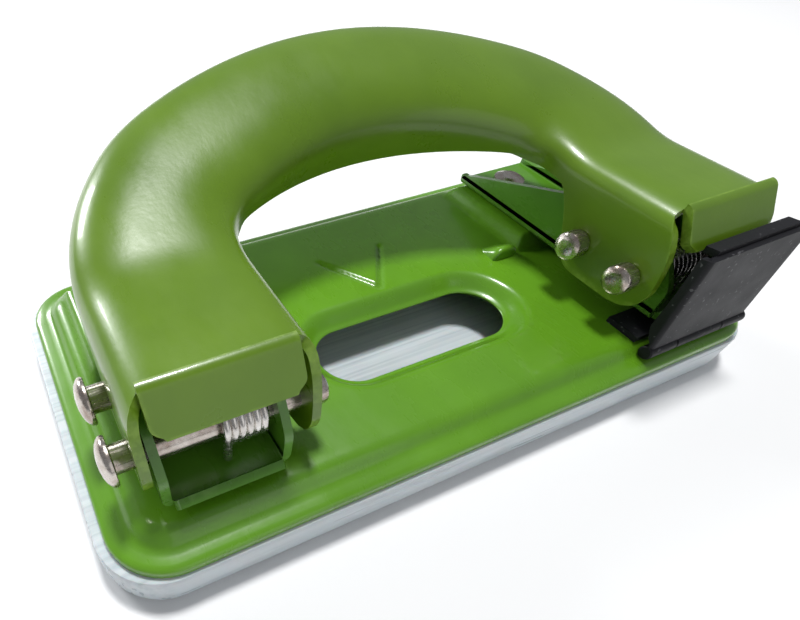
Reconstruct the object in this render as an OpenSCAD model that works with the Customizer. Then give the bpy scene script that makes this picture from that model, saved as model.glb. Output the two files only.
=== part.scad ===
// Two-hole paper punch with a sprung loop handle, brackets, punches, chip tray and a lock flap.
// Units are millimetres. X runs along the base, +Y to the back, +Z up. The floor is z = 0.

/* [Layout] */
// distance between the two punched holes, centre to centre
hole_pitch = 80; // [76:0.5:84]
// distance of the punch axis behind (+) or in front (-) of the base centre
punch_y = -8.2; // [-9:0.1:-7.5]
// horizontal arm from the hinge pin back to the punch axis
arm = 9.4; // [8.8:0.1:10]
// height of both pins above the floor
pin_z = 18.2; // [18:0.1:18.6]

/* [Chip tray] */
// outer length of the plastic chip tray
tray_l = 115.5; // [112:0.5:119]
// outer width of the plastic chip tray
tray_w = 58.5; // [56:0.5:61]
// height of the tray wall that carries the base plate
tray_h = 6.3; // [5.9:0.1:6.6]
// thickness of the tray floor
tray_floor = 1.4; // [1:0.1:2]

/* [Base plate] */
// sheet thickness of the pressed base plate
sheet = 1.0; // [0.8:0.1:1.1]
// height of the flat top of the base plate
top_z = 10.2; // [10:0.1:10.5]
// inward step from the plate's outline to its flat top
skirt_in = 4.6; // [4.2:0.1:5]
// half length of the window dish
dish_l = 20.5; // [18:0.5:22]
// half width of the window dish
dish_w = 8.8; // [8.3:0.1:9.3]

/* [Brackets] */
// paper gap between the base plate and the bracket floor
throat = 2.0; // [1.8:0.1:2.2]
// half width over the bracket cheeks
cheek_x = 8.4; // [8.1:0.1:8.6]
// sheet thickness of brackets and handle
plate_t = 1.2; // [1:0.05:1.25]

/* [Handle] */
// half width over the handle's side flanges
flange_x = 11.1; // [10.9:0.1:11.4]
// height of the flat ends of the handle
handle_z = 29.2; // [28.8:0.1:29.5]
// upward tilt of the loop, in degrees
loop_tilt = 18; // [15:0.5:19]
// how far each limb of the handle sits inward of its punch unit
limb_in = 0.8; // [0.6:0.1:1.1]
// centreline radius of the loop's corners
corner_r = 20; // [18:0.5:22]
// full travel of the handle, in degrees
travel = 17; // [16:0.5:17]

/* [Pins and punches] */
// radius of the punches
punch_r = 3.0; // [2.5:0.05:3]
// radius of the hinge and drive pins
pin_r = 1.8; // [1.5:0.05:1.8]
// radius of the pin heads
head_r = 3.1; // [2.6:0.1:3.3]
// spring wire radius
wire_r = 0.63; // [0.5:0.01:0.63]

/* [Lock flap] */
// half width of the flap
flap_x = 11; // [10.5:0.1:11]
// length of the flap plate above its hinge
flap_l = 15.6; // [14:0.2:15.8]

/* [Hidden] */
$fn = 48;
hinge_y = punch_y - arm;
base_l = tray_l - 2.9;
base_w = tray_w - 1.0;
base_r = 8.3;
tray_r = 9;
floor_z = top_z + throat;
clear_r = punch_r + 0.06;
bend_y = -1;
flap_y = -26.5;
flap_z = 9.6;
slot_back = arm * (1 - cos(travel));
green = [0.36, 0.55, 0.13];
base_green = [0.24, 0.5, 0.17];
steel = [0.72, 0.7, 0.66];
black = [0.09, 0.09, 0.1];

// ---------- shared shapes ----------
// a unit's own frame: x = 0 on the punch axis, +x towards the middle of the base
module at_left() { translate([-hole_pitch / 2, 0, 0]) children(); }
module at_right() { mirror([1, 0, 0]) translate([-hole_pitch / 2, 0, 0]) children(); }

// rounded rectangle made of squares and circles
module rrect(l, w, r) {
  square([l - 2 * r, w], center = true);
  square([l, w - 2 * r], center = true);
  for (sx = [-1, 1], sy = [-1, 1])
    translate([sx * (l / 2 - r), sy * (w / 2 - r)]) circle(r);
}

// a profile (x = radius from the corner centre, y = height) carried round a rounded rectangle
module round_sweep(l, w, r) {
  for (k = [0:3]) {
    cx = (k == 0 || k == 3 ? 1 : -1) * (l / 2 - r);
    cy = (k < 2 ? 1 : -1) * (w / 2 - r);
    run = k % 2 == 0 ? w - 2 * r : l - 2 * r;
    translate([cx, cy, 0]) rotate([0, 0, 90 * k]) {
      rotate_extrude(angle = 90) children();
      rotate([90, 0, 0]) linear_extrude(run) children();
    }
  }
}

// a flat outline in (y, z) given as x = y, y = z, made w thick along x from x0
module side_plate(x0, w) {
  translate([x0, 0, 0]) rotate([90, 0, 90]) linear_extrude(w) children();
}

// a rod along x
module rod(r, x0, x1, y, z) {
  translate([x0, y, z]) rotate([0, 90, 0]) cylinder(r = r, h = x1 - x0);
}

// a pressed frustum: both sections are trapezia
module frustum(xb, xt, y0, y1, yin, z0, z1) {
  intersection() {
    translate([0, y1, 0]) rotate([90, 0, 0]) linear_extrude(y1 - y0)
      polygon([[-xb, z0], [xb, z0], [xt, z1], [-xt, z1]]);
    side_plate(-xb, 2 * xb)
      polygon([[y0, z0], [y1, z0], [y1 - yin, z1], [y0 + yin, z1]]);
  }
}

// ---------- tray and base ----------
module chip_tray() {
  color([0.86, 0.9, 0.92]) difference() {
    union() {
      translate([0, 0, 0.5]) linear_extrude(tray_h - 0.5) rrect(tray_l, tray_w, tray_r);
      linear_extrude(0.5) rrect(tray_l - 1, tray_w - 1, tray_r - 0.5);
      linear_extrude(tray_h + 0.4) rrect(base_l - 2.3, base_w - 2.3, base_r - 1.15);
    }
    translate([0, 0, tray_floor]) linear_extrude(tray_h) rrect(base_l - 5.3, base_w - 5.3, base_r - 2.65);
  }
}

module skirt_profile() {
  R = base_r;
  k = skirt_in / 4.6;
  translate([R, 0]) polygon([
    [0, tray_h + 0.05], [0, 7.5], [-0.35, 7.95], [-2.6 * k, 8.3], [-3 * k, 8.55],
    [-4.2 * k, top_z - 0.3], [-4.8 * k, top_z], [-5.5, top_z], [-5.5, top_z - sheet],
    [-5.2, top_z - sheet], [-4.9 * k, top_z - sheet - 0.2], [-3.75 * k, 7.75], [-3.1 * k, 7.4],
    [-1.1, 7.05], [-1.0, 6.9], [-1.0, tray_h + 0.05]]);
}

module obround(l, w, h) {
  linear_extrude(h) {
    square([2 * (l - w), 2 * w], center = true);
    for (s = [-1, 1]) translate([s * (l - w), 0]) circle(w);
  }
}

module dish_profile() {
  polygon([[dish_w + 0.2, top_z], [dish_w - 0.4, top_z - 0.25], [dish_w - 1.9, top_z - 1.85],
           [dish_w - 2.6, top_z - 2.15], [dish_w - 3.1, top_z - 2.15],
           [dish_w - 3.1, top_z - 2.15 - sheet], [dish_w - 2.4, top_z - 2.15 - sheet],
           [dish_w - 1.2, top_z - 2.5], [dish_w + 0.2, top_z - sheet]]);
}

module dish_ring() {
  s = dish_l - dish_w;
  for (m = [0, 1]) mirror([m, 0, 0]) {
    translate([s, 0, 0]) rotate([0, 0, -90]) rotate_extrude(angle = 180) dish_profile();
    mirror([0, m, 0]) translate([-s, 0, 0]) rotate([90, 0, 90]) linear_extrude(2 * s) dish_profile();
  }
}

module stop_bump() {
  side_plate(-2.8, 5.6) polygon([[0.9, top_z - 0.4], [0.9, top_z + 1.9], [1.7, top_z + 2.0],
                                 [5.0, top_z + 0.1], [5.0, top_z - 0.4]]);
}

module base_plate() {
  pad = floor_z;
  color(base_green) difference() {
    union() {
      round_sweep(base_l, base_w, base_r) skirt_profile();
      difference() {
        translate([0, 0, top_z - sheet]) linear_extrude(sheet) rrect(base_l - 10.9, base_w - 10.9, base_r - 5.45);
        translate([0, -6.8, top_z - 3]) obround(dish_l + 0.1, dish_w + 0.1, 6);
      }
      translate([0, -6.8, 0]) dish_ring();
      for (s = [-1, 1]) {
        translate([s * hole_pitch / 2, 0, 0]) frustum(11.4, 9.1, 1.2, 23.4, 2, top_z - 0.2, pad);
        translate([s * 25.4, 0, 0]) stop_bump();
      }
    }
    for (s = [-1, 1]) {
      translate([s * hole_pitch / 2, 0, 0]) {
        frustum(10.5, 8.2, 2.1, 22.5, 2, top_z - sheet - 0.4, pad - sheet);
        translate([0, punch_y, 0]) cylinder(r = punch_r + 1.72, h = 20);
        for (y = [8, 18]) translate([0, y, 5]) cylinder(r = 1.6, h = 20, $fn = 32);
      }
      // centre mark
      translate([0, 3.2, top_z]) rotate([0, 0, s * 32.5])
        translate([-0.55, 0, -0.35]) cube([1.1, 12.6, 1]);
      translate([hole_pitch / 2 + s * 7, -21.5, 0]) cylinder(r = 1, h = 20, $fn = 32);
    }
  }
}

module die_ring() {
  color(steel) translate([0, punch_y, 0]) difference() {
    union() {
      translate([0, 0, top_z - 2]) cylinder(r = punch_r + 2.6, h = 2 - sheet - 0.03);
      translate([0, 0, top_z - 2]) cylinder(r = punch_r + 1.7, h = 2);
    }
    cylinder(r = clear_r, h = 20);
    translate([0, 0, top_z - 2.01]) cylinder(r1 = clear_r + 0.8, r2 = clear_r, h = 0.8);
  }
}

// ---------- punch units ----------
module cheek_outline() {
  // the top edge runs parallel to the underside of the pressed handle
  polygon([[-22.5, floor_z], [22.5, floor_z], [22.5, 13.2], [22.25, 13.9], [21.7, 14.4], [20.88, 14.6],
           [-9.8, 24.55], [-10.8, 24.75], [-14.4, 24.75], [-15.4, 24.5], [-18.0, 22.75], [-18.9, 22.0],
           [-22.2, 17.9], [-22.5, 17.3]]);
}

// outline swept by a disc of radius w that swings down through the angle a on the arm
function slot_points(w, a) = concat(
  [for (k = [0:8]) [arm + w * cos(22.5 * k), w * sin(22.5 * k)]],
  [for (k = [1:3]) (arm - w) * [cos(a * k / 4), -sin(a * k / 4)]],
  [for (k = [0:8]) arm * [cos(a), -sin(a)] + w * [cos(180 + 22.5 * k - a), sin(180 + 22.5 * k - a)]],
  [for (k = [1:3]) (arm + w) * [cos(a - a * k / 4), -sin(a - a * k / 4)]]);

module bracket() {
  color(base_green * 0.9) difference() {
    union() {
      translate([-cheek_x, -22.5, floor_z]) cube([2 * cheek_x, 45, plate_t]);
      side_plate(-cheek_x, plate_t) cheek_outline();
      side_plate(cheek_x - plate_t, plate_t) cheek_outline();
      // front lip that guides the paper in
      side_plate(-7.1, 14.2) polygon([[-21.5, floor_z], [-22.7, floor_z], [-24.3, floor_z + 1.0],
                                      [-24.3, floor_z + 2.2], [-22.5, floor_z + plate_t],
                                      [-21.5, floor_z + plate_t]]);
    }
    translate([0, punch_y, 5]) cylinder(r = punch_r + 1.52, h = 10);
    for (y = [8, 18]) translate([0, y, 5]) cylinder(r = 1.6, h = 20, $fn = 32);
    rod(pin_r + 0.02, -20, 20, hinge_y, pin_z);
    // curved slots for the drive pin
    translate([-20, hinge_y, pin_z]) rotate([90, 0, 90]) linear_extrude(40)
      polygon(slot_points(pin_r + 0.3, travel + 0.5));
  }
}

module rivet_pair() {
  for (y = [8, 18]) translate([0, y, 0]) {
    translate([0, 0, floor_z - sheet - 0.9]) cylinder(r = 1.55, h = sheet + plate_t + 1.4, $fn = 32);
    translate([0, 0, floor_z - sheet - 1.0]) cylinder(r1 = 2.1, r2 = 2.6, h = 0.97, $fn = 32);
    translate([0, 0, floor_z + plate_t + 0.03]) cylinder(r = 2.9, h = 0.4, $fn = 32);
    translate([0, 0, floor_z + plate_t + 0.43]) cylinder(r1 = 2.9, r2 = 1.7, h = 0.6, $fn = 32);
  }
}

module guide_bush() {
  color(steel) translate([0, punch_y, 0]) difference() {
    // pressed into the bracket floor, low enough for the drive pin at full travel
    translate([0, 0, floor_z]) cylinder(r = punch_r + 1.5, h = plate_t - 0.05);
    cylinder(r = clear_r, h = 30);
  }
}

module punch() {
  color(steel) difference() {
    translate([0, punch_y, floor_z + 0.1]) cylinder(r = punch_r, h = 9.1);
    // slot for the drive pin, long enough for the pin's forward drift
    translate([-10, punch_y - slot_back - pin_r - 0.1, pin_z - pin_r - 0.1])
      cube([20, slot_back + 2 * pin_r + 0.2, 2 * pin_r + 0.2]);
    // hollow-ground cutting end
    rod(5, -10, 10, punch_y, floor_z - 4.1);
  }
}

module pin_along_x(y) {
  color(steel) {
    rod(pin_r, -flange_x - 1.2, flange_x + 3.2, y, pin_z);
    rod(head_r, -flange_x - 2.2, -flange_x - 1.0, y, pin_z);
    translate([-flange_x - 2.2, y, pin_z]) rotate([0, -90, 0]) cylinder(r1 = head_r, r2 = head_r - 0.8, h = 0.5);
    rod(2.2, flange_x + limb_in + 0.15, flange_x + 3.4, y, pin_z);
    translate([flange_x + 3.4, y, pin_z]) rotate([0, 90, 0]) cylinder(r1 = 2.2, r2 = 1.4, h = 0.6);
  }
}

module return_spring() {
  m = pin_r + 0.15 + wire_r;
  p = 2 * wire_r - 0.02;
  x0 = 0.8;
  color(steel) {
    translate([x0 - p / 2, hinge_y, pin_z]) rotate([0, 90, 0]) rotate_extrude() polygon(concat(
      [[m - wire_r, 0]],
      [for (k = [0:4], c = [[0.62, 0.04], [0.93, 0.26], [0.93, 0.74], [0.62, 0.96]]) [m + c[0] * wire_r, (k + c[1]) * p]],
      [[m - wire_r, 5 * p]]));
    // leg on the bracket floor and leg under the drive pin
    translate([x0, hinge_y - m, floor_z + plate_t + 0.05])
      cylinder(r = wire_r, h = pin_z - floor_z - plate_t - 0.05, $fn = 24);
    translate([x0 + 4 * p, hinge_y, pin_z - m]) rotate([-90, 0, 0]) cylinder(r = wire_r, h = arm, $fn = 24);
  }
}

// ---------- handle ----------
// half of the pressed section: flat crown, bevelled shoulder, side wall, all plate_t thick
module shell(din, dout, e = 0) {
  w = flange_x + e;
  t = plate_t + 2 * e;
  q = 0.45 * t;
  translate([0, e]) polygon([[-w, -din], [-w, -4.0], [-w + 0.9, -1.9], [-w + 2.4, -0.6], [-w + 4.6, 0],
           [w - 4.6, 0], [w - 2.4, -0.6], [w - 0.9, -1.9], [w, -4.0], [w, -dout],
           [w - t, -dout], [w - t, -4.0 - q / 2], [w - 0.9 - t + 0.1, -1.9 - q], [w - 2.4 - q, -0.6 - t + 0.1],
           [w - 4.6 - q / 2, -t], [-w + 4.6 + q / 2, -t], [-w + 2.4 + q, -0.6 - t + 0.1],
           [-w + 0.9 + t - 0.1, -1.9 - q], [-w + t, -4.0 - q / 2], [-w + t, -din]]);
}

module loop() {
  xc = hole_pitch / 2 - limb_in - corner_r;
  tc = 1.5;
  d = xc / cos(60);
  // neighbouring lengths overlap slightly and differ by a hair in thickness, so they fuse
  for (m = [0, 1]) mirror([m, 0, 0]) {
    translate([hole_pitch / 2 - limb_in, tc + 0.3, 0]) rotate([90, 0, 0]) linear_extrude(tc + 1.3) shell(6.4, 4.4, 0.02);
    translate([xc, tc, 0]) rotate_extrude(angle = 60.5, $fn = 96) translate([corner_r, 0]) shell(6.4, 4.4);
  }
  translate([0, tc - d * sin(60), 0]) rotate([0, 0, 59.5]) rotate_extrude(angle = 61, $fn = 128)
    translate([corner_r + d, 0]) shell(6.4, 4.4, 0.02);
}

module flange_outline() {
  polygon([[-1.0, 24.8], [-2.2, 23.5], [-5.6, 16.6], [-6.6, 15.1], [-7.9, 14.1], [-9.6, 13.6],
           [-17.0, 13.6], [-19.3, 14.0], [-21.1, 15.1], [-22.1, 16.7], [-22.4, 18.4], [-22.2, 19.9],
           [-20.9, 23.2], [-18.4, 27.0], [-17.4, 27.0], [-16.6, 25.2]]);
}

module handle() {
  color(green) difference() {
    union() {
      translate([0, bend_y, handle_z]) rotate([loop_tilt, 0, 0]) loop();
      for (m = [0, 1]) mirror([m, 0, 0]) translate([hole_pitch / 2 - limb_in, 0, 0]) {
        translate([0, bend_y + 0.6, handle_z]) rotate([90, 0, 0]) linear_extrude(17.1) shell(5.2, 5.2);
        side_plate(flange_x - plate_t, plate_t) flange_outline();
        side_plate(-flange_x, plate_t) flange_outline();
        side_plate(-8.6, 17.2) polygon([[-16.6, handle_z], [-17.5, handle_z], [-18.2, handle_z - 0.45],
          [-21.5, 23.4], [-21.35, 22.8], [-20.5, 22.3], [-17.1, handle_z - 1.3], [-16.6, handle_z - plate_t]]);
      }
    }
    rod(pin_r + 0.06, -hole_pitch, hole_pitch, hinge_y, pin_z);
    rod(pin_r + 0.02, -hole_pitch, hole_pitch, punch_y, pin_z);
  }
}

// ---------- lock flap ----------
module flap_foot() {
  color(black) difference() {
    union() {
      translate([-11.4, -24.4, top_z + 0.02]) cube([22.8, 5.4, 0.9]);
      side_plate(-5, 10) polygon([[-24.4, top_z + 0.02], [-24.4, top_z + 0.92], [-26.2, flap_z + 0.8],
                                  [-26.5, flap_z - 0.9], [-25.2, flap_z - 0.3]]);
      rod(1.1, -5, 5, flap_y, flap_z);
      for (s = [-1, 1]) translate([s * 7, -21.5, top_z - 1.6]) cylinder(r = 0.95, h = 2, $fn = 32);
    }
    rod(0.62, -12, 12, flap_y, flap_z);
  }
}

module flap_pin() {
  color(steel) rod(0.55, -flap_x + 0.3, flap_x - 0.3, flap_y, flap_z);
}

module lock_flap() {
  a = 7;
  color(black) difference() {
    union() {
      for (s = [-1, 1]) rod(1.1, s > 0 ? 5.15 : -flap_x, s > 0 ? flap_x : -5.15, flap_y, flap_z);
      translate([0, flap_y, flap_z]) rotate([-a, 0, 0]) {
        translate([-flap_x, -0.6, 0]) cube([2 * flap_x, 1.2, flap_l]);
        // catch ledge behind the top edge
        translate([-8.8, 0, flap_l - 1.5]) cube([17.6, 2.2, 1.2]);
        for (s = [-1, 1]) translate([s * (flap_x - 0.55), 0, 0])
          side_plate(-0.55, 1.1) polygon([[0, 1.6], [1.4, 2.2], [2.2, 4.2], [1.6, 10], [1.6, flap_l - 0.3], [0, flap_l - 0.3]]);
      }
    }
    rod(0.62, -12, 12, flap_y, flap_z);
    rod(1.35, -5.15, 5.15, flap_y, flap_z);
  }
}

chip_tray();
base_plate();
at_left() die_ring();  // die_ring_left
at_right() die_ring();  // die_ring_right
at_left() bracket();  // bracket_left
at_right() bracket();  // bracket_right
bracket_rivets();
at_left() guide_bush();  // guide_bush_left
at_right() guide_bush();  // guide_bush_right
at_left() punch();  // punch_left
at_right() punch();  // punch_right
handle();
at_left() pin_along_x(hinge_y);  // hinge_pin_left
at_right() pin_along_x(hinge_y);  // hinge_pin_right
at_left() pin_along_x(punch_y);  // drive_pin_left
at_right() pin_along_x(punch_y);  // drive_pin_right
at_left() return_spring();  // return_spring_left
at_right() return_spring();  // return_spring_right
at_right() flap_foot();
at_right() flap_pin();
at_right() lock_flap();

module bracket_rivets() {
  color(steel) {
    at_left() rivet_pair();
    at_right() rivet_pair();
  }
}
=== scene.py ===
# %% [markdown]
# # A two-hole desk punch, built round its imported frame
# The frame is the exact model: it says where each pin, punch and plate sits and what turns about
# what. The real object is pressed from painted sheet steel, so its look comes from soft bends,
# a thick glossy paint and a few bright pins. Exact CAD solids have sharp, flat-sided bends, so the
# pressed pieces are worked out again here as smooth surfaces on grids of numbers, and the small
# turned pieces that the CAD already has right keep their shape and only get a finish.

import bmesh
import bpy
import numpy as np
from mathutils import Matrix, Vector


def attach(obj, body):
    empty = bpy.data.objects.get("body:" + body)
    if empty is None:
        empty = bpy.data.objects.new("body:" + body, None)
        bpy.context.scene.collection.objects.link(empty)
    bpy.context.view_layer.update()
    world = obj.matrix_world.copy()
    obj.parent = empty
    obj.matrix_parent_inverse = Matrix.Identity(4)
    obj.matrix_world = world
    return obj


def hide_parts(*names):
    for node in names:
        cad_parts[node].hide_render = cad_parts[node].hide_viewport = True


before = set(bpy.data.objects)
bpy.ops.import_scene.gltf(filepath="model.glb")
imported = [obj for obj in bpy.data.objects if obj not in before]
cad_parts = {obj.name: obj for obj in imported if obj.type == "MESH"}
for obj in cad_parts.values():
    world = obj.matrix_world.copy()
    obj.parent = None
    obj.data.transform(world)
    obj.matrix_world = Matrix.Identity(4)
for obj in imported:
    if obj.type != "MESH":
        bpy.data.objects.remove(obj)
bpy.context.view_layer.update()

# %% [markdown]
# ## Sizes that everything shares
# All shapes are worked out in millimetres, since that is how sheet metal is drawn, and are made
# metres once, when the numbers go into a mesh. The two punching units stand 80 mm apart, and both
# the hinge pin and the drive pin of a unit lie along X.

# %% Shared sizes
MM = 0.001
UNIT_X = 40.0
HINGE_Y, DRIVE_Y, PIN_Z = -17.6, -8.2, 18.2
TOP_Z, THROAT_Z, SHEET = 10.2, 12.2, 1.0
WALL_X, LIMB_X, HANDLE_Z, PLATE = 11.1, 38.9, 29.2, 1.2
UNITS = (("left", 1.0), ("right", -1.0))
print("hinge line at", (0.0, HINGE_Y, PIN_Z), "mm")

# %% [markdown]
# ## From a grid of points to a mesh
# Every new piece is one or more patches: grids of points with two directions. A patch's rows may
# close on themselves, as rings do. Patches are joined into one mesh, doubles are merged so that
# poles and seams close, and edges that turn sharply are marked so that shading breaks there.


# %% Patch and piece helpers
def patch(points, wrap_columns=False, flip=False):
    """Grid (rows, columns, 3) in mm to vertices and quads: each quad joins a point with its next
    neighbour along the row, across to the next row, and back; wrapping joins a row's last point
    to its first."""
    p = np.asarray(points, float)
    rows, columns = p.shape[:2]
    i = np.arange(rows - 1)[:, None]
    j = np.arange(columns if wrap_columns else columns - 1)[None, :]
    i2, j2 = i + 1, (j + 1) % columns
    quads = np.stack([i * columns + j, i * columns + j2, i2 * columns + j2, i2 * columns + j], -1)
    quads = quads.reshape(-1, 4)
    return p.reshape(-1, 3), quads[:, ::-1] if flip else quads


def piece(name, patches, finish, solid=None, bevel=None, sharp=32.0, recalc=False):
    """Joins patches into one object at the origin. solid is a wall thickness in mm, grown to the
    back of the faces; bevel is an edge radius in mm; sharp is the angle at which shading breaks."""
    verts, quads, count = [], [], 0
    for v, q in patches:
        verts.append(v)
        quads.append(q + count)
        count += len(v)
    mesh = bpy.data.meshes.new(name)
    mesh.from_pydata((np.concatenate(verts) * MM).tolist(), [], np.concatenate(quads).tolist())
    bm = bmesh.new()
    bm.from_mesh(mesh)
    bmesh.ops.remove_doubles(bm, verts=bm.verts, dist=2e-6)
    if recalc:
        bmesh.ops.recalc_face_normals(bm, faces=bm.faces)
    limit = np.radians(sharp)
    for edge in bm.edges:
        edge.smooth = len(edge.link_faces) == 2 and edge.calc_face_angle(0.0) < limit
    bm.to_mesh(mesh)
    bm.free()
    mesh.polygons.foreach_set("use_smooth", np.ones(len(mesh.polygons), bool))
    mesh.materials.append(finish)
    made = bpy.data.objects.new(name, mesh)
    bpy.context.scene.collection.objects.link(made)
    if solid:
        wall = made.modifiers.new("wall", "SOLIDIFY")
        wall.thickness, wall.offset, wall.use_even_offset = solid * MM, -1.0, True
    if bevel:
        edge = made.modifiers.new("edge", "BEVEL")
        edge.width, edge.segments, edge.limit_method = bevel * MM, 2, "ANGLE"
        edge.angle_limit, edge.harden_normals = np.radians(40.0), True
    print(name, len(mesh.polygons), "faces")
    return made


def smoothstep(a, b, x):
    """0 before a, 1 after b, and an S-shaped cubic between them."""
    t = np.clip((np.asarray(x, float) - a) / (b - a), 0.0, 1.0)
    return t * t * (3 - 2 * t)


# %% [markdown]
# ## Finishes
# The paint is a thick gloss enamel: a slightly uneven colour, a fine orange-peel bump and a clear
# layer over it. Two shades are used, a duller green on the handle and a fresher one on the base.
# Where a pressing bends hard the enamel runs thin, so edges are a little rougher; a painted highlight
# also makes convex edges and bends lighter in colour. The steel is plated and a little tarnished,
# the flap is satin black plastic with fine dust, and the tray is milky plastic. Each pattern reads
# Object coordinates, which are metres, so a noise scale of 1000 is about one bump to a millimetre.


# %% Material helpers
def new_finish(name):
    """An empty material with its shader, and a function that adds and wires a node."""
    made = bpy.data.materials.new(name)
    made.use_nodes = True
    tree = made.node_tree
    shader = next(n for n in tree.nodes if n.type == "BSDF_PRINCIPLED")

    def add(kind, wires=(), **values):
        node = tree.nodes.new(kind)
        for key, value in values.items():
            setattr(node, key, value)
        for socket, source in wires:
            if isinstance(source, bpy.types.NodeSocket):
                tree.links.new(source, node.inputs[socket])
            else:
                node.inputs[socket].default_value = source
        return node

    return made, tree, shader, add


def noise(add, place, scale, detail=3.0, roughness=0.55, stretch=(1, 1, 1)):
    """Noise over Object coordinates, which stretch squeezes along each axis."""
    spread = add("ShaderNodeMapping", [("Vector", place), ("Scale", stretch)])
    cloud = add("ShaderNodeTexNoise", [("Vector", spread.outputs[0]), ("Scale", scale),
                                       ("Detail", detail), ("Roughness", roughness)])
    return cloud.outputs["Fac"]


def ramp(add, value, low, high, to_low, to_high):
    """Maps value from low..high to to_low..to_high, and holds it outside."""
    made = add("ShaderNodeMapRange", [("Value", value), ("From Min", low), ("From Max", high),
                                      ("To Min", to_low), ("To Max", to_high)])
    return made.outputs["Result"]


def mix(add, share, a, b):
    """Colour a turning to colour b as share goes from 0 to 1."""
    made = add("ShaderNodeMix", data_type="RGBA")
    tree = made.id_data
    for socket, source in ((0, share), (6, a), (7, b)):
        if isinstance(source, bpy.types.NodeSocket):
            tree.links.new(source, made.inputs[socket])
        else:
            made.inputs[socket].default_value = source
    return made.outputs[2]


# %% Gloss enamel
def enamel(name, colour, deep, edge_highlight_colour, gloss=0.2):
    """Paint: colour and deep mix in slow clouds, a painted highlight lightens hard edges, with orange peel.
    """
    made, tree, shader, add = new_finish(name)
    place = add("ShaderNodeTexCoord").outputs["Object"]
    cloud = noise(add, place, 60.0, 4.0)
    grain = noise(add, place, 900.0, 3.0, 0.6)
    peel = noise(add, place, 1300.0, 2.0, 0.4)
    smear = noise(add, place, 130.0, 5.0, 0.65, (1.0, 0.35, 1.0))
    body = mix(add, ramp(add, cloud, 0.35, 0.68, 0.0, 1.0), (*colour, 1), (*deep, 1))
    body = mix(add, ramp(add, grain, 0.3, 0.7, 0.0, 0.10), body, (*deep, 1))
    # painted highlight: where Pointiness finds a convex edge or bend the colour is lightened, broken up by
    # the grain
    edge = add("ShaderNodeNewGeometry").outputs["Pointiness"]
    edge_highlight_mask = add("ShaderNodeMath", [(0, ramp(add, edge, 0.53, 0.60, 0.0, 1.0)),
                                    (1, ramp(add, grain, 0.40, 0.62, 0.15, 1.0))],
                 operation="MULTIPLY").outputs[0]
    body = mix(add, ramp(add, edge_highlight_mask, 0.0, 1.0, 0.0, 0.45), body, (*edge_highlight_colour, 1))
    tree.links.new(body, shader.inputs["Base Color"])
    rough = ramp(add, smear, 0.35, 0.75, gloss, gloss + 0.14)
    rough = add("ShaderNodeMath", [(0, rough), (1, ramp(add, edge_highlight_mask, 0.0, 1.0, 0.0, 0.12))],
                operation="ADD").outputs[0]
    tree.links.new(rough, shader.inputs["Roughness"])
    bump = add("ShaderNodeBump", [("Height", peel), ("Strength", 0.10), ("Distance", 0.00006)])
    wavy = add("ShaderNodeBump", [("Height", smear), ("Strength", 0.12), ("Distance", 0.0004),
                                  ("Normal", bump.outputs[0])])
    tree.links.new(wavy.outputs[0], shader.inputs["Normal"])
    shader.inputs["Coat Weight"].default_value = 0.3
    shader.inputs["Coat Roughness"].default_value = 0.09
    shader.inputs["Specular IOR Level"].default_value = 0.5
    return made


# the third colour of each enamel is the painted highlight laid on its convex edges and bends
handle_paint = enamel("handle_enamel", (0.118, 0.225, 0.006), (0.096, 0.190, 0.005),
                      (0.25, 0.40, 0.05), 0.26)
base_paint = enamel("base_enamel", (0.118, 0.305, 0.012), (0.096, 0.255, 0.009),
                    (0.20, 0.38, 0.06), 0.24)
bracket_paint = enamel("bracket_enamel", (0.085, 0.245, 0.016), (0.068, 0.200, 0.012),
                       (0.18, 0.36, 0.07), 0.22)
print("enamels:", handle_paint.name, base_paint.name, bracket_paint.name)


# %% Plated steel, black plastic and milky plastic
def plated(name, bright, tarnish, rough):
    """Metal with slow tarnish clouds and fine drawing scratches along X."""
    made, tree, shader, add = new_finish(name)
    place = add("ShaderNodeTexCoord").outputs["Object"]
    cloud = noise(add, place, 420.0, 4.0, 0.6)
    lines = noise(add, place, 2600.0, 3.0, 0.6, (0.08, 1.0, 1.0))
    pits = noise(add, place, 1500.0, 4.0, 0.7)
    body = mix(add, ramp(add, cloud, 0.38, 0.66, 0.0, 0.8), (*bright, 1), (*tarnish, 1))
    tree.links.new(body, shader.inputs["Base Color"])
    tree.links.new(ramp(add, lines, 0.3, 0.7, rough - 0.07, rough + 0.13), shader.inputs["Roughness"])
    fine = add("ShaderNodeBump", [("Height", lines), ("Strength", 0.25), ("Distance", 0.00003)])
    dents = add("ShaderNodeBump", [("Height", pits), ("Strength", 0.2), ("Distance", 0.00006),
                                   ("Normal", fine.outputs[0])])
    tree.links.new(dents.outputs[0], shader.inputs["Normal"])
    shader.inputs["Metallic"].default_value = 1.0
    return made


def black_plastic_finish(name):
    """Moulded black plastic: a fine spark grain, a slow sheen change and pale dust specks."""
    made, tree, shader, add = new_finish(name)
    place = add("ShaderNodeTexCoord").outputs["Object"]
    cloud = noise(add, place, 150.0, 5.0, 0.6)
    grain = noise(add, place, 2600.0, 2.0, 0.5)
    specks = noise(add, place, 1700.0, 1.0, 0.2)
    body = mix(add, cloud, (0.006, 0.006, 0.008, 1), (0.013, 0.013, 0.016, 1))
    body = mix(add, ramp(add, specks, 0.70, 0.76, 0.0, 0.35), body, (0.20, 0.20, 0.21, 1))
    tree.links.new(body, shader.inputs["Base Color"])
    tree.links.new(ramp(add, cloud, 0.3, 0.7, 0.42, 0.56), shader.inputs["Roughness"])
    shader.inputs["Specular IOR Level"].default_value = 0.22
    bump = add("ShaderNodeBump", [("Height", grain), ("Strength", 0.18), ("Distance", 0.00005)])
    tree.links.new(bump.outputs[0], shader.inputs["Normal"])
    return made


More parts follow.
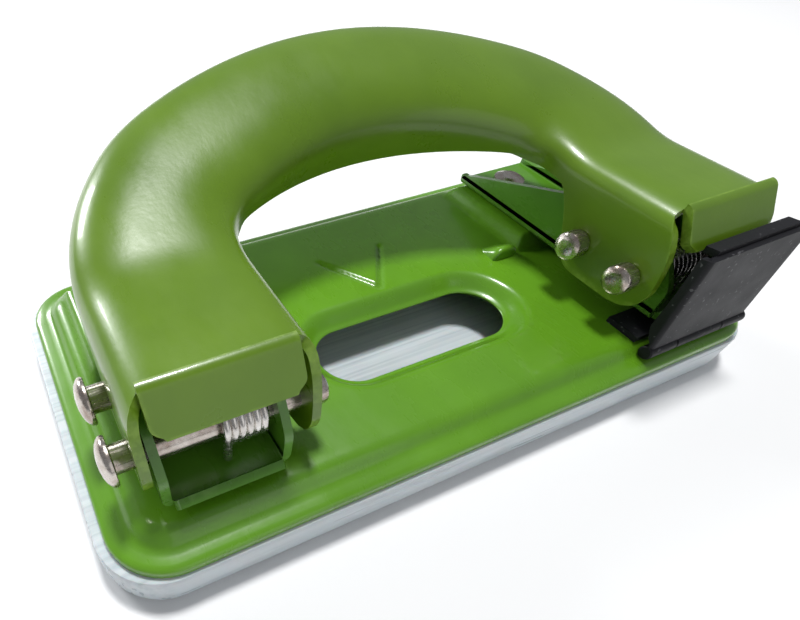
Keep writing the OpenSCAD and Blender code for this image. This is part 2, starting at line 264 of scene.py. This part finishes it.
def milky_plastic(name):
    """Pale plastic with fine lines left by the mould along X, and light let in a little."""
    made, tree, shader, add = new_finish(name)
    place = add("ShaderNodeTexCoord").outputs["Object"]
    cloud = noise(add, place, 90.0, 4.0, 0.6)
    lines = noise(add, place, 1500.0, 2.0, 0.5, (0.02, 1.0, 0.4))
    body = mix(add, cloud, (0.46, 0.52, 0.55, 1), (0.60, 0.66, 0.69, 1))
    body = mix(add, ramp(add, lines, 0.42, 0.60, 0.0, 0.4), body, (0.76, 0.80, 0.82, 1))
    tree.links.new(body, shader.inputs["Base Color"])
    tree.links.new(ramp(add, lines, 0.3, 0.7, 0.24, 0.42), shader.inputs["Roughness"])
    bump = add("ShaderNodeBump", [("Height", lines), ("Strength", 0.35), ("Distance", 0.00008)])
    tree.links.new(bump.outputs[0], shader.inputs["Normal"])
    shader.inputs["Subsurface Weight"].default_value = 0.15
    shader.inputs["Subsurface Scale"].default_value = 0.002
    return made


steel = plated("plated_steel", (0.66, 0.61, 0.56), (0.30, 0.22, 0.18), 0.22)
spring_wire = plated("spring_wire", (0.82, 0.80, 0.78), (0.50, 0.46, 0.42), 0.20)
black = black_plastic_finish("black_satin")
tray_plastic = milky_plastic("tray_milk")
print("finishes made:", len(bpy.data.materials))

# %% [markdown]
# ## The handle's path
# The handle is one pressing. Seen from above it runs straight back from the left unit, turns
# through a quick corner, crosses at the back in a slow arc and comes forward again to the right
# unit. A path whose bend changes in jumps shows as a kink in the gloss, so the bend is worked out
# first, smoothed, and then added up: once for the heading and again for the place.


# %% Plan of the handle's centre line
FRONT, CORNER_AT, CORNER_R, CROWN_R = -16.5, 1.5, 19.6, 60.0


def centre_line(step=0.1, soften=5.0):
    """Bend per mm along the path is 0, then 1/CORNER_R, then 1/CROWN_R and back. A moving average softens
    it, its running sum is the heading, and the running sum of the heading's direction is the
    place. The result is scaled across to set the two limbs the right way apart."""
    straight, corner, crown = CORNER_AT - FRONT, CORNER_R * np.pi / 3, CROWN_R * np.pi / 3
    s = np.arange(0.0, 2 * straight + 2 * corner + crown, step)
    a, b = straight, straight + corner
    total = s[-1]
    near = np.minimum(s, total - s)
    bend = np.where(near < a, 0.0, np.where(near < b, 1 / CORNER_R, 1 / CROWN_R))
    width = int(soften / step)
    bend = np.convolve(np.pad(bend, width, mode="edge"), np.ones(width) / width, "same")[width:-width]
    bend *= np.pi / (bend.sum() * step)
    heading = np.pi / 2 - np.cumsum(bend) * step
    x = np.cumsum(np.cos(heading)) * step
    t = np.cumsum(np.sin(heading)) * step + FRONT
    x = (x - x[0]) / (x[-1] - x[0]) * 2 * LIMB_X - LIMB_X
    mid = len(s) // 2
    return s, x, (t + t[::-1]) / 2, heading, s[mid]


PATH = centre_line()
print("path", round(float(PATH[0][-1]), 1), "mm long, back to", round(float(PATH[2].max()), 1), "mm")


# %% [markdown]
# ## The handle's section
# Across the path the pressing is an upturned channel. Over the units it has a flat top, tight
# shoulders and tall side walls that carry the pins. Round the loop it swells into a full, almost
# round back for the palm. One family of curves covers both: a superellipse, whose power goes from
# boxy to round, with a straight wall below it. The whole flat figure is then bent up by 17 degrees
# across a soft line just behind the units.


# %% Handle surface
TILT, PIVOT_T = np.radians(17.2), 0.0
BEND_Y, BEND_HALF = -1.0, 3.5
INNER_HEM_Z, OUTER_HEM = 25.8, -7.0


def lift(t, v):
    """A place t along the flat figure and v above it, to y and z: the slope turns from level to
    17 degrees over 7 mm, its running sum gives the bent sheet's place, and v stands square on it."""
    ts = np.linspace(-30.0, 60.0, 1801)
    slope = TILT * smoothstep(-BEND_HALF, BEND_HALF, ts)
    step = ts[1] - ts[0]
    ys, zs = np.cumsum(np.cos(slope)) * step, np.cumsum(np.sin(slope)) * step
    zero = np.searchsorted(ts, PIVOT_T)
    y = np.interp(t, ts, ys - ys[zero]) + BEND_Y
    z = np.interp(t, ts, zs - zs[zero]) + HANDLE_Z
    angle = np.interp(t, ts, slope)
    return y - v * np.sin(angle), z + v * np.cos(angle)


def low_edge(y):
    """Height of the side walls' lower edge over y, in front of the bend: an ear round the pins."""
    ys = np.array([-17.5, -17.38, -17.1, -16.6, -15.6, -14.2, -12.5, -9.6, -8.4, -7.3, -6.5, -5.6,
                   -4.6, -3.4, -2.2, -1.0])
    zs = np.array([18.4, 17.3, 16.0, 15.0, 14.05, 13.65, 13.6, 13.6, 13.8, 14.4, 15.2, 16.6,
                   18.7, 21.2, 23.2, 24.2])
    return np.interp(y, ys, zs)


def handle_surface():
    """Rows are stations along the path and columns go across the section, from the inner lower
    edge over the crown to the outer one. Across is a superellipse quarter each side of the crown:
    sideways sine, downwards one minus cosine, both to the power 2/n."""
    s0, x0, t0, heading, middle = PATH
    ends = np.concatenate([np.linspace(0, 1.2, 9), np.linspace(1.2, 12, 22)[1:]])
    loop = np.linspace(12, middle, 84)[1:]
    half = np.concatenate([ends, loop])
    s = np.concatenate([half, s0[-1] - half[::-1][1:]])
    x, t = np.interp(s, s0, x0), np.interp(s, s0, t0)
    turn = np.interp(s, s0, heading)
    side = np.stack([np.sin(turn), -np.cos(turn)], -1)      # points to the inside of the loop
    near = np.minimum(s, s0[-1] - s)
    loopness = smoothstep(14.0, 32.0, near)
    crown = 1.85 * smoothstep(20.0, middle, near)
    rows = []
    quarter = np.linspace(0.0, np.pi / 2, 22)
    wall = np.linspace(0.0, 1.0, 20)
    for inner in (True, False):
        width = WALL_X + (0.9 if inner else -1.3) * loopness
        power = (4.2 if inner else 3.2) * (1 - loopness) + 2.6 * loopness
        fall = (4.4 if inner else 6.4) * (1 - loopness) + (5.2 if inner else 6.6) * loopness
        across = width[:, None] * np.sin(quarter)[None, :] ** (2 / power[:, None])
        down = crown[:, None] - (fall + crown)[:, None] * (
            1 - np.cos(quarter)[None, :] ** (2 / power[:, None]))
        # the straight wall runs on down to the ear, or to the loop's hem
        hem_t = t - width * np.abs(side[:, 1]) * (1 if inner else -1)
        hem_z = lift(hem_t, np.zeros_like(hem_t))[1]
        loop_low = (INNER_HEM_Z - hem_z) / np.cos(TILT) if inner else np.full_like(t, OUTER_HEM)
        loop_low = np.minimum(loop_low, -fall - 0.3)
        ear_low = low_edge(t + BEND_Y) - HANDLE_Z
        share = smoothstep(-2.5, 4.0, t)
        low = ear_low * (1 - share) + loop_low * share
        low = np.minimum(low + 0.2, -fall - 0.3)
        depth = -fall[:, None] + (low + fall)[:, None] * wall[None, 1:]
        across = np.concatenate([across, np.repeat(width[:, None], 19, 1)], 1)
        down = np.concatenate([down, depth], 1)
        sign = 1.0 if inner else -1.0
        px = x[:, None] + sign * across * side[:, :1]
        pt = t[:, None] + sign * across * side[:, 1:]
        # the walls reach forward in front, further the lower they are
        reach = 4.9 * (1 - np.exp(-np.clip(-down - 1.0, 0, None) / 4.0))
        pt = pt - reach * np.clip((-8.0 - t) / 8.5, 0, 1)[:, None]
        y, z = lift(pt, down)
        rows.append(np.stack([px, y, z], -1))
    return np.concatenate([rows[0][:, ::-1], rows[1][:, 1:]], 1)


def front_apron(sign):
    """The flap of metal bent down over a unit's front: a profile in y and z, straight, round a
    bend of 1.6 mm and straight again, carried across the unit, with its lower corners rounded."""
    fall = np.radians(np.linspace(0, 55, 12))
    y = -17.5 - 1.6 * np.sin(fall)
    z = HANDLE_Z - 1.6 * (1 - np.cos(fall))
    run = np.linspace(0, 5.5, 14)[1:]
    y = np.concatenate([y, y[-1] - run * np.cos(fall[-1]) * 0.95])
    z = np.concatenate([z, z[-1] - run * np.sin(fall[-1])])
    low = np.linspace(0, 1, len(z))
    half = 8.9 - 1.4 * smoothstep(0.80, 1.0, low) ** 2
    across = np.linspace(-1, 1, 31)
    px = sign * LIMB_X + half[:, None] * across[None, :]
    return np.stack([px, np.repeat(y[:, None], 31, 1), np.repeat(z[:, None], 31, 1)], -1)


handle = piece("handle_pressing",
               [patch(handle_surface(), flip=True), patch(front_apron(-1), flip=True),
                patch(front_apron(1), flip=True)],
               handle_paint, solid=PLATE, bevel=0.22, sharp=50.0)
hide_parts("handle")
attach(handle, "handle")

# %% [markdown]
# ## The base plate
# The base is a pressed lid: a rounded rectangle with a soft stepped skirt, a dished window in the
# middle, a raised platform under each unit and a V pressed in as a centre mark. It is worked out as
# a stack of closed rings from the skirt's hem to the lip of the window. Every ring has the same
# number of points in the same order, so neighbouring rings join with quads.


# %% Rings
ALONG, ASIDE, TURN = 120, 44, 12
RING_POINTS = 2 * (ALONG + ASIDE) + 4 * TURN


def rectangle_ring(half_l, half_w, r):
    """Rounded rectangle as points in a fixed order: a corner's arc, then the side after it."""
    arc = np.linspace(0, np.pi / 2, TURN, endpoint=False)
    parts = []
    for k, count in enumerate((ALONG, ASIDE, ALONG, ASIDE)):
        cx = (half_l - r) * (1 if k in (0, 3) else -1)
        cy = (half_w - r) * (1 if k in (0, 1) else -1)
        a = arc + k * np.pi / 2
        parts.append(np.stack([cx + r * np.cos(a), cy + r * np.sin(a)], -1))
        turned = (k + 1) * np.pi / 2
        start = np.array([cx + r * np.cos(turned), cy + r * np.sin(turned)])
        other = [(-1, 1), (-1, -1), (1, -1), (1, 1)][k]
        end = np.array([(half_l - r) * other[0] + r * np.cos(turned),
                        (half_w - r) * other[1] + r * np.sin(turned)])
        f = np.linspace(0, 1, count, endpoint=False)[:, None]
        parts.append(start + (end - start) * f)
    return np.concatenate(parts)


def window_ring(half_l, half_w, centre_y):
    """A slot with round ends, in the same order of points: its straight sides match the long
    sides, and each round end is shared out over two corners and the short side between them."""
    mid = half_l - half_w
    arc = np.linspace(0, np.pi / 2, TURN, endpoint=False)
    cut = np.radians(38)
    parts = []
    for k, count in enumerate((ALONG, ASIDE, ALONG, ASIDE)):
        right = k in (0, 3)
        cx = mid if right else -mid
        if k % 2 == 0:
            first = {0: cut, 2: np.pi + cut}[k]
            a = first + (np.pi / 2 - cut) * arc / (np.pi / 2)
            straight = np.linspace(cx, -cx, count, endpoint=False)
            top = half_w if k == 0 else -half_w
            side = np.stack([straight, np.full(count, top)], -1)
        else:
            first = {1: np.pi / 2, 3: 3 * np.pi / 2}[k]
            a = first + (np.pi / 2 - cut) * arc / (np.pi / 2)
            b = first + (np.pi / 2 - cut) + 2 * cut * np.linspace(0, 1, count, endpoint=False)
            side = np.stack([cx + half_w * np.cos(b), half_w * np.sin(b)], -1)
        parts.append(np.stack([cx + half_w * np.cos(a), half_w * np.sin(a)], -1))
        parts.append(side)
    ring = np.concatenate(parts)
    ring[:, 1] += centre_y
    return ring


# %% Base plate surface
HALF_L, HALF_W, BASE_R, DISH_Y = 56.3, 28.75, 8.3, -6.8


def relief(x, y):
    """Height of the pressed details over the flat top: two platforms under the units, each the
    lesser of four slopes and smoothed, less a groove along each arm of the centre mark."""
    rise = np.zeros_like(x)
    for at in (-UNIT_X, UNIT_X):
        inside = np.minimum.reduce([11.4 - np.abs(x - at), y - 1.2, 23.4 - y]) / 2.2
        rise = np.maximum(rise, 2.0 * smoothstep(0, 1, inside))
    for sign in (-1, 1):
        a = np.radians(32.5) * sign
        along = x * -np.sin(a) + (y - 3.2) * np.cos(a)
        across = x * np.cos(a) + (y - 3.2) * np.sin(a)
        near = np.clip(1 - np.abs(across) / (0.95 - 0.035 * np.clip(along, 0, 12)), 0, 1)
        ends = smoothstep(-0.5, 0.8, along) * smoothstep(13.2, 11.2, along)
        rise = rise - 0.5 * smoothstep(0, 1, near) * ends
    return rise


def base_surface():
    """Rings: up the skirt, over its shoulder, across the top while the outline turns from the
    rectangle into the window, then down the dish to its lip. Relief is added on the top."""
    skirt_in = np.array([0.0, 0.0, 0.0, 0.12, 0.45, 1.0, 1.8, 2.5, 2.95, 3.3, 3.7, 4.15, 4.7, 5.4, 6.2])
    skirt_z = np.array([6.35, 6.9, 7.3, 7.62, 7.86, 8.02, 8.14, 8.27, 8.5, 8.9, 9.4, 9.8, 10.06, 10.18, 10.2])
    rings = [np.column_stack([rectangle_ring(HALF_L - i, HALF_W - i, max(BASE_R - i, 2.2)),
                              np.full(RING_POINTS, z)])
             for i, z in zip(skirt_in, skirt_z)]
    outer, inner = rings[-1][:, :2], window_ring(20.9, 9.2, DISH_Y)
    for f in np.linspace(0, 1, 60)[1:]:
        flat = outer + (inner - outer) * f
        rings.append(np.column_stack([flat, np.full(len(flat), TOP_Z)]))
    for i, z in ((0.4, 10.14), (0.8, 9.98), (1.2, 9.7), (1.7, 9.25), (2.15, 8.8), (2.5, 8.45),
                 (2.85, 8.2), (3.2, 8.08), (3.45, 8.0), (3.5, 7.85)):
        ring = window_ring(20.9 - i, 9.2 - i, DISH_Y)
        rings.append(np.column_stack([ring, np.full(len(ring), z)]))
    grid = np.stack(rings)
    on_top = smoothstep(8.9, 10.1, grid[..., 2]) * (grid[..., 1] > -4.0)
    grid[..., 2] += relief(grid[..., 0], grid[..., 1]) * on_top
    return grid


def stop_lug(at):
    """A tongue of the top pushed up to stop the paper. Lengthwise it rises steeply, rolls over and
    runs down to the back; across it is a half superellipse, so its sides close on the plate."""
    run_y = np.array([0.75, 0.8, 0.85, 0.95, 1.15, 1.5, 1.9, 2.4, 3.0, 3.7, 4.4, 5.2])
    run_z = np.array([-0.6, 0.4, 1.2, 1.65, 1.9, 2.0, 1.93, 1.68, 1.25, 0.72, 0.25, -0.3])
    a = np.linspace(-1, 1, 25)
    arch = (1 - np.abs(a) ** 2.8) ** (1 / 2.2)
    z = TOP_Z - 0.6 + (run_z[:, None] + 0.6) * arch[None, :]
    x = at + 2.9 * a[None, :] * (1 - 0.12 * np.linspace(0, 1, 12)[:, None])
    return np.stack([x + 0 * z, run_y[:, None] + 0.5 * (1 - arch[None, :]) + 0 * z, z], -1)


base = piece("base_pressing",
             [patch(base_surface(), wrap_columns=True), patch(stop_lug(-25.4)), patch(stop_lug(25.4))],
             base_paint, solid=SHEET * 0.98, sharp=60.0)
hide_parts("base_plate")
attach(base, "base")

# %% [markdown]
# ## The chip tray
# The tray is a shallow plastic box that clips into the base and catches the chips. It is one closed
# ring surface: from the middle of its floor out to the inner wall, over the rim, down the outside
# with a soft foot, and back under to the middle. Where rings shrink onto the middle line the doubles
# merge, so the shape is closed.

# %% Chip tray
TRAY_L, TRAY_W, TRAY_R = 57.75, 29.25, 9.0
tray_profile = [  # inset from the outline, height
    (29.25, 1.4), (14.0, 1.4), (5.2, 1.4), (4.5, 1.45), (4.15, 1.7), (4.1, 2.2), (4.1, 6.4), (4.0, 6.62),
    (3.75, 6.7), (2.95, 6.7), (2.7, 6.6), (2.62, 6.36), (2.5, 6.3), (0.45, 6.3), (0.15, 6.2), (0.0, 5.9),
    (0.0, 1.1), (0.08, 0.7), (0.3, 0.35), (0.65, 0.1), (1.1, 0.0), (3.0, 0.0), (14.0, 0.0), (29.25, 0.0)]
tray_rings = np.stack([
    np.column_stack([rectangle_ring(TRAY_L - i, TRAY_W - i, max(TRAY_R - i, 0.0)),
                     np.full(RING_POINTS, z)]) for i, z in tray_profile])
tray = piece("chip_tray_moulding", [patch(tray_rings, wrap_columns=True, flip=True)],
             tray_plastic, sharp=40.0)
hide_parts("chip_tray")
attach(tray, "tray")

# %% [markdown]
# ## The punch brackets
# Each unit is a sheet channel: a floor with two cheeks bent up from it, and a rolled lip in front
# that leads the paper in. A cheek has a slot for the drive pin, so it is worked out as a ring
# between the slot and the cheek's outline. Seen from the slot, the outline is the nearest of a few
# straight edges in each direction. A high-power mean of them rounds the corners between them.


# %% Bracket surfaces
CHEEK_X, BEND_R = 8.4, 1.3
INNER_CHEEK = [[-22.5, 13.1], [22.5, 13.1], [22.5, 14.05], [-10.3, 24.75], [-15.0, 24.75],
               [-18.5, 22.6], [-22.5, 17.5]]
OUTER_CHEEK = [[-22.5, 13.1], [22.5, 13.1], [22.5, 13.25], [-12.5, 22.5], [-15.4, 22.8],
               [-18.2, 21.8], [-22.5, 17.5]]


def cheek_rim(angle, centre, outline):
    """Distance from centre to the cheek's outline at each angle. Each edge allows 1/distance along
    its normal, and the sum of their powers, to 1 over the power, is a rounded least distance."""
    corners = np.array(outline) - centre
    nxt = np.roll(corners, -1, 0)
    d = nxt - corners
    normal = np.stack([d[:, 1], -d[:, 0]], -1) / np.linalg.norm(d, axis=1)[:, None]
    dist = (normal * corners).sum(1)
    rays = np.stack([np.cos(angle), np.sin(angle)], -1)
    share = np.clip(rays @ normal.T, 0, None) / dist[None, :]
    return (share ** 42).sum(1) ** (-1 / 42)


def slot_rim(angle, centre):
    """Distance from the middle of the drive pin's slot to its rim: a short slot with round ends
    that leans with the pin's swing, met by rays from its middle."""
    lean = np.radians(-90 - 9.25)
    half, r = 1.51, 2.1
    c, s = np.cos(angle - lean), np.sin(angle - lean)
    flat = r / np.clip(np.abs(s), 1e-6, None)
    cap = half * np.abs(c) + np.sqrt(np.clip(r * r - (half * s) ** 2, 0, None))
    return np.where(np.abs(flat * c) <= half, flat, cap)


def bracket_patches(sign):
    """Both cheeks as slot-to-outline rings, the floor with its two bends, and the rolled lip."""
    at = -UNIT_X * sign
    angle = np.linspace(0, 2 * np.pi, 360, endpoint=False)
    centre = np.array([DRIVE_Y - 0.35, PIN_Z - 1.45])
    near = slot_rim(angle, centre)
    f = np.array([0, 0.1, 0.3, 0.6, 0.9, 1.0])[:, None]
    made = []
    for side in (-1, 1):
        # the cheek on the outside of the punch is lower, to give the pressed handle's wall more room
        far = cheek_rim(angle, centre, OUTER_CHEEK if side == -sign else INNER_CHEEK)
        r = near + (far - near) * f
        y, z = centre[0] + r * np.cos(angle), centre[1] + r * np.sin(angle)
        made.append(patch(np.stack([np.full_like(y, at + side * CHEEK_X), y, z], -1), wrap_columns=True,
                          flip=side > 0))
    bend = np.radians(np.linspace(0, 90, 8))
    inset, rise = BEND_R * (1 - np.sin(bend)), BEND_R * (1 - np.cos(bend))
    x = np.concatenate([inset[::-1] - CHEEK_X, CHEEK_X - inset])
    low = THROAT_Z + np.concatenate([rise[::-1], rise])
    x = np.concatenate([[-CHEEK_X], x, [CHEEK_X]])
    low = np.concatenate([[14.2], low, [14.2]])
    ys = np.linspace(-22.5, 22.5, 46)
    grid = np.stack([np.repeat((at + x)[:, None], 46, 1), np.repeat(ys[None, :], len(x), 0),
                     np.repeat(low[:, None], 46, 1)], -1)
    made.append(patch(grid))
    curl = np.radians(np.linspace(0, 62, 8))
    ly = np.concatenate([[-22.0], -22.5 - 1.5 * np.sin(curl), [-24.25]])
    lz = np.concatenate([[THROAT_Z], THROAT_Z + 1.5 * (1 - np.cos(curl)), [13.75]])
    half = np.where(ly < -23.9, 6.7, 7.1)
    across = np.linspace(-1, 1, 25)
    grid = np.stack([at + half[:, None] * across, np.repeat(ly[:, None], 25, 1),
                     np.repeat(lz[:, None], 25, 1)], -1)
    made.append(patch(grid))
    return made


for name, sign in UNITS:
    bracket = piece(f"bracket_pressing_{name}", bracket_patches(sign), bracket_paint,
                    solid=1.15, bevel=0.18, sharp=50.0)
    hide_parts(f"bracket_{name}")
    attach(bracket, "base")

# %% [markdown]
# ## Pins
# Each unit turns on a headed pin and is driven by a second one. A pin is a turned piece: one
# profile of radius against length, spun about the pin's axis. The head has a soft dome with a
# rounded rim, and the other end is riveted over.


# %% Pins
def spun_along_x(profile, y, z, sign, steps=64):
    """Profile rows of (x in the unit, radius), carried once round the X axis at (y, z)."""
    p = np.asarray(profile, float)
    a = np.linspace(0, 2 * np.pi, steps, endpoint=False)
    x = sign * (p[:, 0] - UNIT_X)
    return np.stack([np.repeat(x[:, None], steps, 1), y + p[:, 1:] * np.cos(a), z + p[:, 1:] * np.sin(a)], -1)


pin_profile = [(-13.8, 0.0), (-13.76, 0.8), (-13.62, 1.6), (-13.38, 2.3), (-13.05, 2.8), (-12.75, 3.04),
               (-12.45, 3.1), (-12.2, 3.04), (-12.1, 2.85), (-12.1, 1.86), (-12.0, 1.8), (12.3, 1.8),
               (12.35, 2.1), (12.5, 2.2), (14.3, 2.2), (14.55, 2.12), (14.85, 1.75), (15.02, 1.1),
               (15.1, 0.0)]
for name, sign in UNITS:
    for kind, y, body in (("hinge_pin", HINGE_Y, "base"), ("drive_pin", DRIVE_Y, "handle")):
        made = piece(f"{kind}_turned_{name}", [patch(spun_along_x(pin_profile, y, PIN_Z, sign),
                                                     wrap_columns=True)], steel, recalc=True)
        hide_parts(f"{kind}_{name}")
        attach(made, body)

# %% [markdown]
# ## Return springs
# A torsion spring is wound round each hinge pin: one leg presses on the bracket's floor and the
# other pushes up under the drive pin. The coil and its still leg stay with the base. The moving leg
# turns about the hinge pin with the handle, so it rides on the handle, and because the coil's last
# turn is a circle about the same pin, the two stay joined as the handle goes down.


# %% Springs
def tube(path, radius, steps=14):
    """A round wire: each point of the path gets a circle square to the path's direction there."""
    p = np.asarray(path, float)
    along = np.gradient(p, axis=0)
    along /= np.linalg.norm(along, axis=1)[:, None]
    up = np.zeros_like(p)
    up[:, 0] = 1.0
    up -= along * (up * along).sum(1)[:, None]
    thin = np.linalg.norm(up, axis=1) < 0.2
    up[thin] = np.array([0.0, 1.0, 0.0])
    up /= np.linalg.norm(up, axis=1)[:, None]
    side = np.cross(along, up)
    a = np.linspace(0, 2 * np.pi, steps, endpoint=False)[None, :, None]
    ring = p[:, None] + radius * (np.cos(a) * up[:, None] + np.sin(a) * side[:, None])
    ends = np.stack([np.repeat(p[:1], steps, 0), np.repeat(p[-1:], steps, 0)])
    return np.concatenate([ends[:1], ring, ends[1:]])


WIRE, COIL_R, TURNS = 0.56, 2.55, 5.0
for name, sign in UNITS:
    a = np.linspace(0, 1, 300)
    swing = np.pi - a * (2 * np.pi * TURNS + np.pi / 2)
    coil = np.stack([sign * (0.9 + 5.0 * a - UNIT_X), HINGE_Y + COIL_R * np.cos(swing),
                     PIN_Z + COIL_R * np.sin(swing)], -1)
    drop = np.linspace(0, 1, 10)[:0:-1, None]
    still = coil[0] + drop * (np.array([coil[0, 0], HINGE_Y - COIL_R, 14.1]) - coil[0])
    wire = tube(np.concatenate([still, coil]), WIRE)
    wound = piece(f"spring_coil_{name}", [patch(wire, wrap_columns=True)], spring_wire, recalc=True)
    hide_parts(f"return_spring_{name}")
    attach(wound, "base")
    reach = np.linspace(0, 1, 12)[:, None]
    start = np.array([coil[-1, 0], HINGE_Y, PIN_Z - COIL_R])
    leg = piece(f"spring_leg_{name}", [patch(tube(start + reach * np.array([0, 8.6, 0.0]), WIRE),
                                             wrap_columns=True)], spring_wire, recalc=True)
    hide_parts(f"return_spring_{name}")
    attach(leg, "handle")

# %% [markdown]
# ## The black flap
# In front of the right-hand unit stands a black plastic flap, hinged on a small foot. It is a flat
# plate with short returns bent back at its sides and a ledge behind its top edge. The plate and its
# returns are one strip carried up the flap, whose returns grow and shrink with height.


# %% Flap
FLAP_Y, FLAP_Z, FLAP_LEAN = -26.5, 9.6, np.radians(7.0)


def upright(x, back, up):
    """A place in the flap's own frame, back from its face and up from its hinge, leaned forward."""
    y = FLAP_Y + back * np.cos(FLAP_LEAN) + up * np.sin(FLAP_LEAN)
    z = FLAP_Z - back * np.sin(FLAP_LEAN) + up * np.cos(FLAP_LEAN)
    return np.stack([UNIT_X + x + 0 * y, y, z + 0 * x], -1)


def flap_patches():
    """Plate with returns, and the ledge."""
    up = np.concatenate([[0.0, 0.4], np.linspace(1.2, 15.2, 26), [15.6]])
    back = np.interp(up, [0, 1.6, 2.2, 4.2, 10, 15.3, 15.6], [0.15, 0.15, 1.3, 2.1, 1.7, 1.6, 1.5])
    turn = np.radians(np.linspace(0, 90, 7))
    r = 0.7
    flat = np.linspace(-(11.0 - r), 11.0 - r, 23)
    left_x = np.concatenate([np.full(4, -11.0), -11.0 + r * (1 - np.cos(turn))[:-1]])
    left_b = np.concatenate([np.linspace(1, 0.05, 4), r * (1 - np.sin(turn))[:-1]])
    x = np.concatenate([left_x, flat, -left_x[::-1]])
    x = np.repeat(x[None, :], len(up), 0)
    reach = np.zeros_like(x)
    for j in range(4):
        depth = r + (np.maximum(back - r, 0.0)) * (1 - j / 3.4)
        reach[:, j] = reach[:, -1 - j] = depth
    reach[:, 4:10] = left_b[None, 4:10]
    reach[:, -10:-4] = left_b[None, 4:10][:, ::-1]
    made = [patch(upright(x, reach - 0.6, np.repeat(up[:, None], x.shape[1], 1)))]
    a = np.linspace(-8.8, 8.8, 23)[None, :]
    shelf = np.linspace(0.3, 2.2, 6)[:, None]
    made.append(patch(upright(a + 0 * shelf, shelf + 0 * a, 15.3 + 0 * shelf * a), flip=True))
    return made


flap = piece("black_flap", flap_patches(), black, solid=1.0, bevel=0.18, sharp=50.0)
barrel_profile = [(-11.0, 0.0), (-11.0, 0.9), (-10.85, 1.1), (-5.3, 1.1), (-5.15, 0.9), (-5.15, 0.0)]
barrels = piece("flap_barrels",
                [patch(spun_along_x([(side * a, r) for a, r in barrel_profile], FLAP_Y, FLAP_Z, -1),
                       wrap_columns=True) for side in (1, -1)], black, recalc=True)
for made in (flap, barrels):
    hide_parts("lock_flap")
    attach(made, "flap")

# %% [markdown]
# ## Small turned pieces that the frame already has right
# Punches, die rings, guide bushes, rivets and the flap's pin and foot are plain turned or moulded
# pieces, mostly out of sight. Their exact solids stay, and get the finish they need.

# %% Finishes on the frame's own pieces
for node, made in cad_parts.items():
    if made.hide_render:
        continue
    finish = black if node == "flap_foot" else steel
    made.data.materials.clear()
    made.data.materials.append(finish)
    print("finish on", node)

# %% [markdown]
# ## Floor, light and camera
# The punch stands on a plain pale floor. A soft light far behind and to the left draws the
# highlights on the loop, a small one above gives the shadows, a weak one fills the front, and the
# pale world keeps the shadows open. The camera stands close over the left unit with a wide lens.


# %% Floor
pale, pale_tree, pale_shader, pale_add = new_finish("pale_floor")
pale_place = pale_add("ShaderNodeTexCoord").outputs["Object"]
pale_cloud = noise(pale_add, pale_place, 6.0)
pale_tree.links.new(mix(pale_add, pale_cloud, (0.86, 0.86, 0.87, 1), (0.90, 0.90, 0.90, 1)),
                    pale_shader.inputs["Base Color"])
pale_shader.inputs["Roughness"].default_value = 0.75
disc = np.linspace(0, 2 * np.pi, 64, endpoint=False)
rings = np.array([0.0, 200.0, 1000.0, 6000.0])[:, None]
floor = piece("floor", [patch(np.stack([rings * np.cos(disc), rings * np.sin(disc), 0 * rings * disc], -1),
                              wrap_columns=True)], pale)


# %% Lights and world
def area_light(name, place, target, size, watts, colour=(1, 1, 1)):
    """A square soft light at place, in metres, that faces target."""
    data = bpy.data.lights.new(name, "AREA")
    data.shape, data.size, data.energy, data.color = "SQUARE", size, watts, colour
    made = bpy.data.objects.new(name, data)
    made.location = place
    made.rotation_euler = (Vector(target) - Vector(place)).to_track_quat("-Z", "Y").to_euler()
    bpy.context.scene.collection.objects.link(made)


MIDDLE = (0.0, 0.0, 0.02)
area_light("window_light", (-0.42, 0.80, 0.36), MIDDLE, 0.24, 5.5, (0.97, 0.99, 1.0))
area_light("top_light", (0.04, 0.16, 0.70), MIDDLE, 0.12, 4.4)
area_light("front_fill", (0.10, -0.60, 0.30), MIDDLE, 0.50, 0.5)
world = bpy.data.worlds.new("studio")
bpy.context.scene.world = world
world.use_nodes = True
world.node_tree.nodes["Background"].inputs[0].default_value = (0.93, 0.96, 1.0, 1)
world.node_tree.nodes["Background"].inputs[1].default_value = 0.27

# %% Camera
CAMERA_AT = Vector((-0.05209, -0.05057, 0.06579))
CAMERA_TO = Vector((-0.03475, -0.01319, 0.010))
camera_data = bpy.data.cameras.new("camera")
camera_data.sensor_width = 36.0
camera_data.lens = 22.63
camera_data.shift_x, camera_data.shift_y = 0.204, 0.142
camera_data.clip_start, camera_data.clip_end = 0.002, 20.0
bpy.context.scene.view_settings.view_transform = "Standard"
camera = bpy.data.objects.new("camera", camera_data)
ahead = (CAMERA_TO - CAMERA_AT).normalized()
right = ahead.cross(Vector((0, 0, 1))).normalized()
above = right.cross(ahead)
ROLL = 0.01
right, above = right * np.cos(ROLL) + above * np.sin(ROLL), above * np.cos(ROLL) - right * np.sin(ROLL)
turned = Matrix((right, above, -ahead)).transposed()
camera.matrix_world = Matrix.Translation(CAMERA_AT) @ turned.to_4x4()
bpy.context.scene.collection.objects.link(camera)
bpy.context.scene.camera = camera
print("camera at", tuple(round(v, 4) for v in CAMERA_AT))
